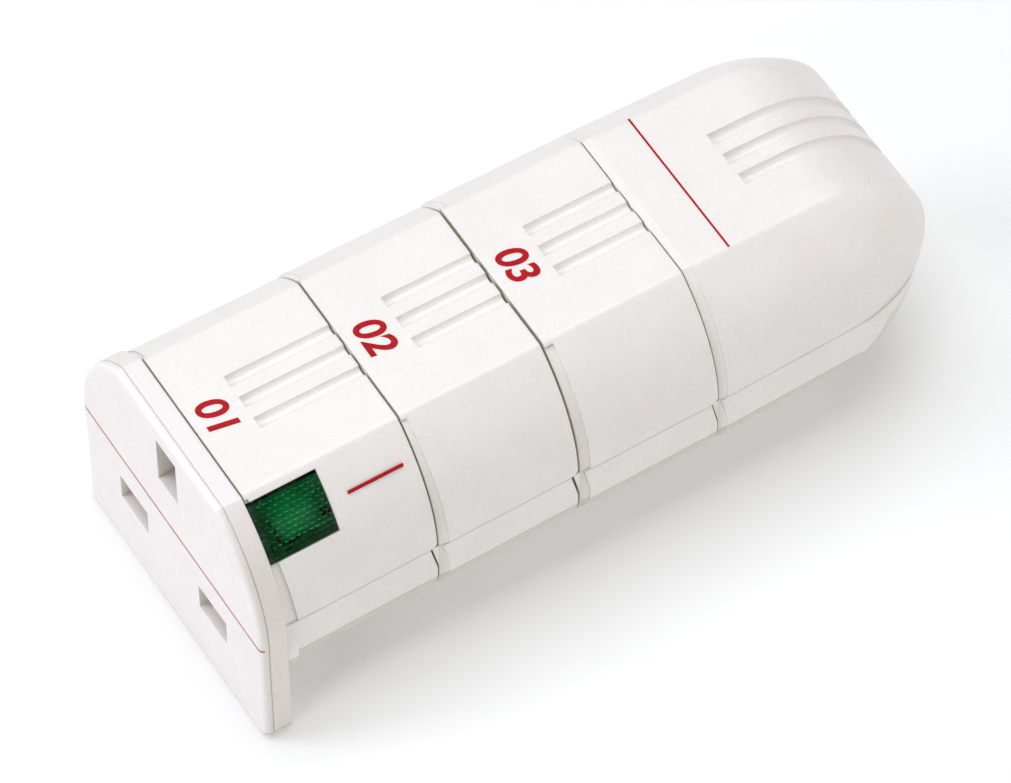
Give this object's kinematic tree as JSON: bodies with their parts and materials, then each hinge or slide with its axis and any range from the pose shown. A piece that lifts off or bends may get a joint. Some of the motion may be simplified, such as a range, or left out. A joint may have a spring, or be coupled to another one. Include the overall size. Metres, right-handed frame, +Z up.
{
  "type": "travel adapter stack",
  "caption": "Stacked travel plug adapter: shuttered flat-pin socket with surge lamp, pull-apart round-pin and swivel-blade modules, fluted white shells and a rounded end cap.",
  "frame": {"origin": "middle of the base: half the length, half the width, at the foot of the face plate", "axes": "+X along the stack from the socket face to the end cap, +Z up, +Y to the far side"},
  "size_m": [0.1192, 0.0502, 0.0449],
  "materials": {
    "face_white": "fine satin, moulded",
    "body_white": "fine satin, moulded",
    "lens_green": "transparent tinted, ribbed inside",
    "lamp_glass": "clear",
    "shutter_white": "matte",
    "carrier_black": "matte",
    "spring_steel": "bright drawn",
    "contact_brass": "stamped",
    "pin_metal": "turned, bright plated",
    "blade_metal": "stamped",
    "board_green": "solder mask",
    "varistor_blue": "dipped coating",
    "resistor_tan": "lacquered",
    "fuse_silver": "plain",
    "screw_steel": "zinc plated",
    "turret_white": "matte"
  },
  "bodies": {
    "socket_unit": {"face_plate": "face_white", "socket_upper_shell": "body_white", "socket_lower_shell": "body_white", "socket_screws": "screw_steel", "lamp_lens": "lens_green", "neon_lamp": "lamp_glass", "shutter_spring": "spring_steel", "contact_carrier": "carrier_black", "live_contact": "contact_brass", "neutral_contact": "contact_brass", "earth_contact": "contact_brass", "circuit_board": "board_green", "varistors": "varistor_blue", "lamp_resistor": "resistor_tan", "thermal_fuse": "fuse_silver", "thick_round_pins": "pin_metal"},
    "shutter_bar": {"shutter": "shutter_white"},
    "middle_module": {"middle_upper_shell": "body_white", "middle_lower_shell": "body_white", "middle_screws": "screw_steel", "middle_contact_tubes": "contact_brass", "thin_round_pins": "pin_metal"},
    "blade_module": {"blade_module_upper_shell": "body_white", "blade_module_lower_shell": "body_white", "blade_module_screws": "screw_steel", "blade_module_contact_tubes": "contact_brass", "detent_leaf": "spring_steel"},
    "left_swivel": {"left_turret": "turret_white", "left_blade": "blade_metal"},
    "right_swivel": {"right_turret": "turret_white", "right_blade": "blade_metal"},
    "end_cap": {"cap_upper_shell": "body_white", "cap_lower_shell": "body_white"}
  },
  "joints": [
    {"name": "shutter_lift", "type": "slide", "parent": "socket_unit", "child": "shutter_bar", "axis": [0, 0, 1], "range_m": [0, 0.006], "stiffness_N_per_m": 60, "springref_m": -0.01, "deforming": ["shutter_spring"]},
    {"name": "middle_module_pull", "type": "slide", "parent": "socket_unit", "child": "middle_module", "axis": [1, 0, 0], "range_m": [0, 0.03]},
    {"name": "blade_module_pull", "type": "slide", "parent": "middle_module", "child": "blade_module", "axis": [1, 0, 0], "range_m": [0, 0.03]},
    {"name": "cap_pull", "type": "slide", "parent": "blade_module", "child": "end_cap", "axis": [1, 0, 0], "range_m": [0, 0.025]},
    {"name": "left_blade_turn", "type": "hinge", "parent": "blade_module", "child": "left_swivel", "pos_m": [0.01639, 0.00635, 0.025], "axis": [1, 0, 0], "range_deg": [0, 30]},
    {"name": "right_blade_turn", "type": "hinge", "parent": "blade_module", "child": "right_swivel", "pos_m": [0.01639, -0.00635, 0.025], "axis": [1, 0, 0], "range_deg": [-30, 0]}
  ]
}
